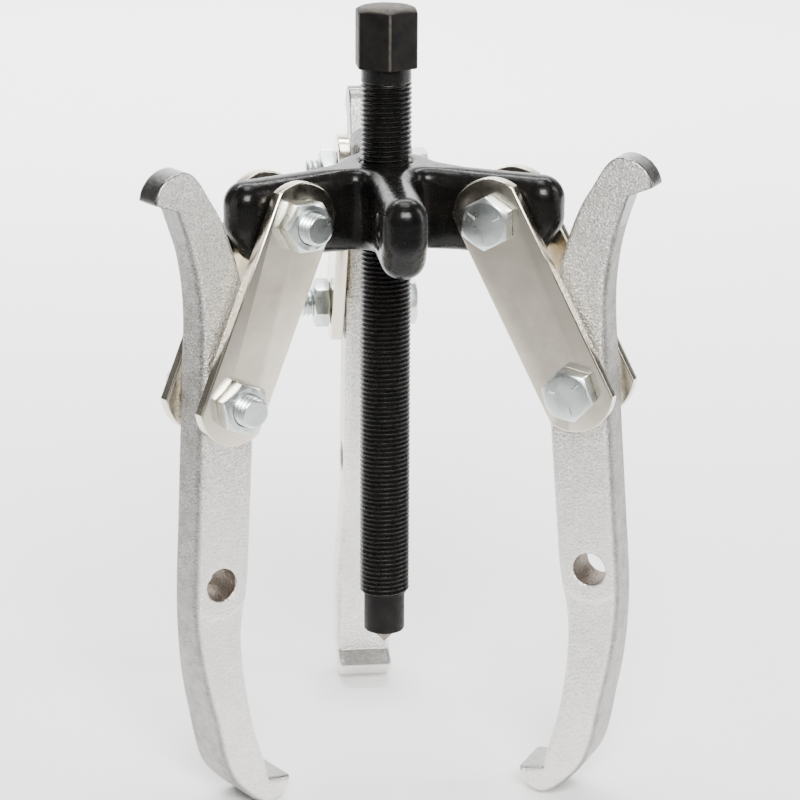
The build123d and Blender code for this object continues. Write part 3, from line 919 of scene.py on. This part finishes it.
blanks = {"jaw": jaw(), "bolt": bolt(), "nut": nut()}
UPRIGHT = Vector((0, 0, 1))
for arm, (upper_bolt, upper_nut, lower_bolt, lower_nut) in TURNS.items():
    link_hinge, jaw_hinge = f"{arm}_link_swing", f"{arm}_jaw_swing"
    jaw_up = Vector(JOINTS[jaw_hinge]["pos_m"]) - Vector(MOUNTS[f"{arm}_spare_hole"]["pos_m"])
    copy_to(blanks["jaw"], f"{arm}_jaw_forging", hinge_frame(jaw_hinge, jaw_up), f"{arm}_jaw", f"{arm}_jaw")
    for level, hinge, bolt_turn, nut_turn in (("upper", link_hinge, upper_bolt, upper_nut),
                                              ("lower", jaw_hinge, lower_bolt, lower_nut)):
        for kind, offset, turn in (("bolt", STACK_HALF, bolt_turn), ("nut", -STACK_HALF, nut_turn)):
            copy_to(blanks[kind], f"{arm}_{level}_hex_{kind}", hinge_frame(hinge, UPRIGHT, offset, turn),
                    f"{arm}_link", f"{arm}_{level}_{kind}")
    for side in ("head_side", "nut_side"):
        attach(strap(f"{arm}_strap_{side}"), f"{arm}_link")
for blank in blanks.values():
    bpy.data.objects.remove(blank)


# ---- floor, light and camera ----------------------------------------------------------------------
def floor():
    """A paper sweep, pale under and behind the tool, and greyer before it: a painted dark sheet standing in for
    the unlit shade in front, which the metal mirrors.

    The sweep's own sizes are metres, and its tones change over millimetres along Y.
    """
    level = min(corner[2] for corner in cad_box)
    front, half, depth, rise, bend, rows = -3.5, 3.0, 2.2, 2.5, 0.6, 12
    dark_front_until, pale_from, blotch = -350, -70, 400
    profile = [(front, level)]
    for step in range(rows + 1):
        angle = pi / 2 * step / rows
        profile.append((depth + bend * sin(angle), level + bend * (1 - cos(angle))))
    profile.append((depth + bend, level + rise))
    vertices = [(side * half, y, z) for y, z in profile for side in (-1, 1)]
    faces = [(2 * i, 2 * i + 1, 2 * i + 3, 2 * i + 2) for i in range(len(profile) - 1)]
    mesh = bpy.data.meshes.new("floor")
    mesh.from_pydata(vertices, [], faces)
    mesh.polygons.foreach_set("use_smooth", [True] * len(mesh.polygons))
    paper = shader_material("paper", Roughness=0.85)
    # painted shade: the grey front stands in for the dark, unlit space before the tool that the metal reflects
    painted_dark_front = mottled(paper, blotch, 2, (0.20, 0.20, 0.20), (0.26, 0.26, 0.26))
    pale = mottled(paper, blotch, 2, (0.90, 0.90, 0.90), (0.93, 0.93, 0.925))
    link(paper, mixed(paper, axis_share(paper, "Y", dark_front_until, pale_from), painted_dark_front, pale), "Base Color")
    mesh.materials.append(paper)
    ground = bpy.data.objects.new("floor", mesh)
    bpy.context.scene.collection.objects.link(ground)


def softbox(name, place_at, target, size, power):
    """A rectangular light with its sides in metres and its power in watts."""
    data = bpy.data.lights.new(name, "AREA")
    data.shape = "RECTANGLE"
    data.size, data.size_y = size
    data.energy = power
    lamp = bpy.data.objects.new(name, data)
    lamp.location = place_at
    lamp.rotation_euler = (Vector(target) - Vector(place_at)).to_track_quat("-Z", "Y").to_euler()
    bpy.context.scene.collection.objects.link(lamp)


def lighting():
    """Soft boxes over the camera, at both sides, above and on the backdrop, and a dim even world."""
    centre = (0, 0, 0.08)
    softbox("over_camera", (0.0, -1.3, 1.1), centre, (0.8, 0.6), 58)
    softbox("left_strip", (-1.3, 0.0, 0.6), centre, (0.35, 1.2), 2)
    softbox("right_strip", (1.3, -0.1, 0.6), centre, (0.35, 1.2), 12)
    softbox("top", (0.0, 0.1, 1.3), centre, (0.5, 0.5), 8)
    softbox("backdrop_wash", (0.0, 1.0, 1.6), (0, 2.3, 0.2), (2.0, 0.8), 170)
    world = bpy.data.worlds.new("studio")
    bpy.context.scene.world = world
    world.use_nodes = True
    background = world.node_tree.nodes["Background"]
    background.inputs["Color"].default_value = (1, 1, 1, 1)
    background.inputs["Strength"].default_value = 0.13


def camera():
    """The photograph's view: from the front, a little left and above."""
    target, place_at, roll = Vector((0.00468, -0.00054, 0.07697)), Vector((-0.0883, -0.8082, 0.3288)), 0.31
    forward = (target - place_at).normalized()
    level_right = forward.cross(UPRIGHT).normalized()
    level_up = level_right.cross(forward)
    right = level_right * cos(radians(roll)) + level_up * sin(radians(roll))
    up = right.cross(forward)
    data = bpy.data.cameras.new("camera")
    data.lens = 121.6
    data.sensor_width = 36.0
    data.clip_start = 0.01
    eye = bpy.data.objects.new("camera", data)
    eye.matrix_world = Matrix.Translation(place_at) @ Matrix((right, up, -forward)).transposed().to_4x4()
    bpy.context.scene.collection.objects.link(eye)
    bpy.context.scene.camera = eye


floor()
lighting()
camera()

bpy.context.view_layer.update()
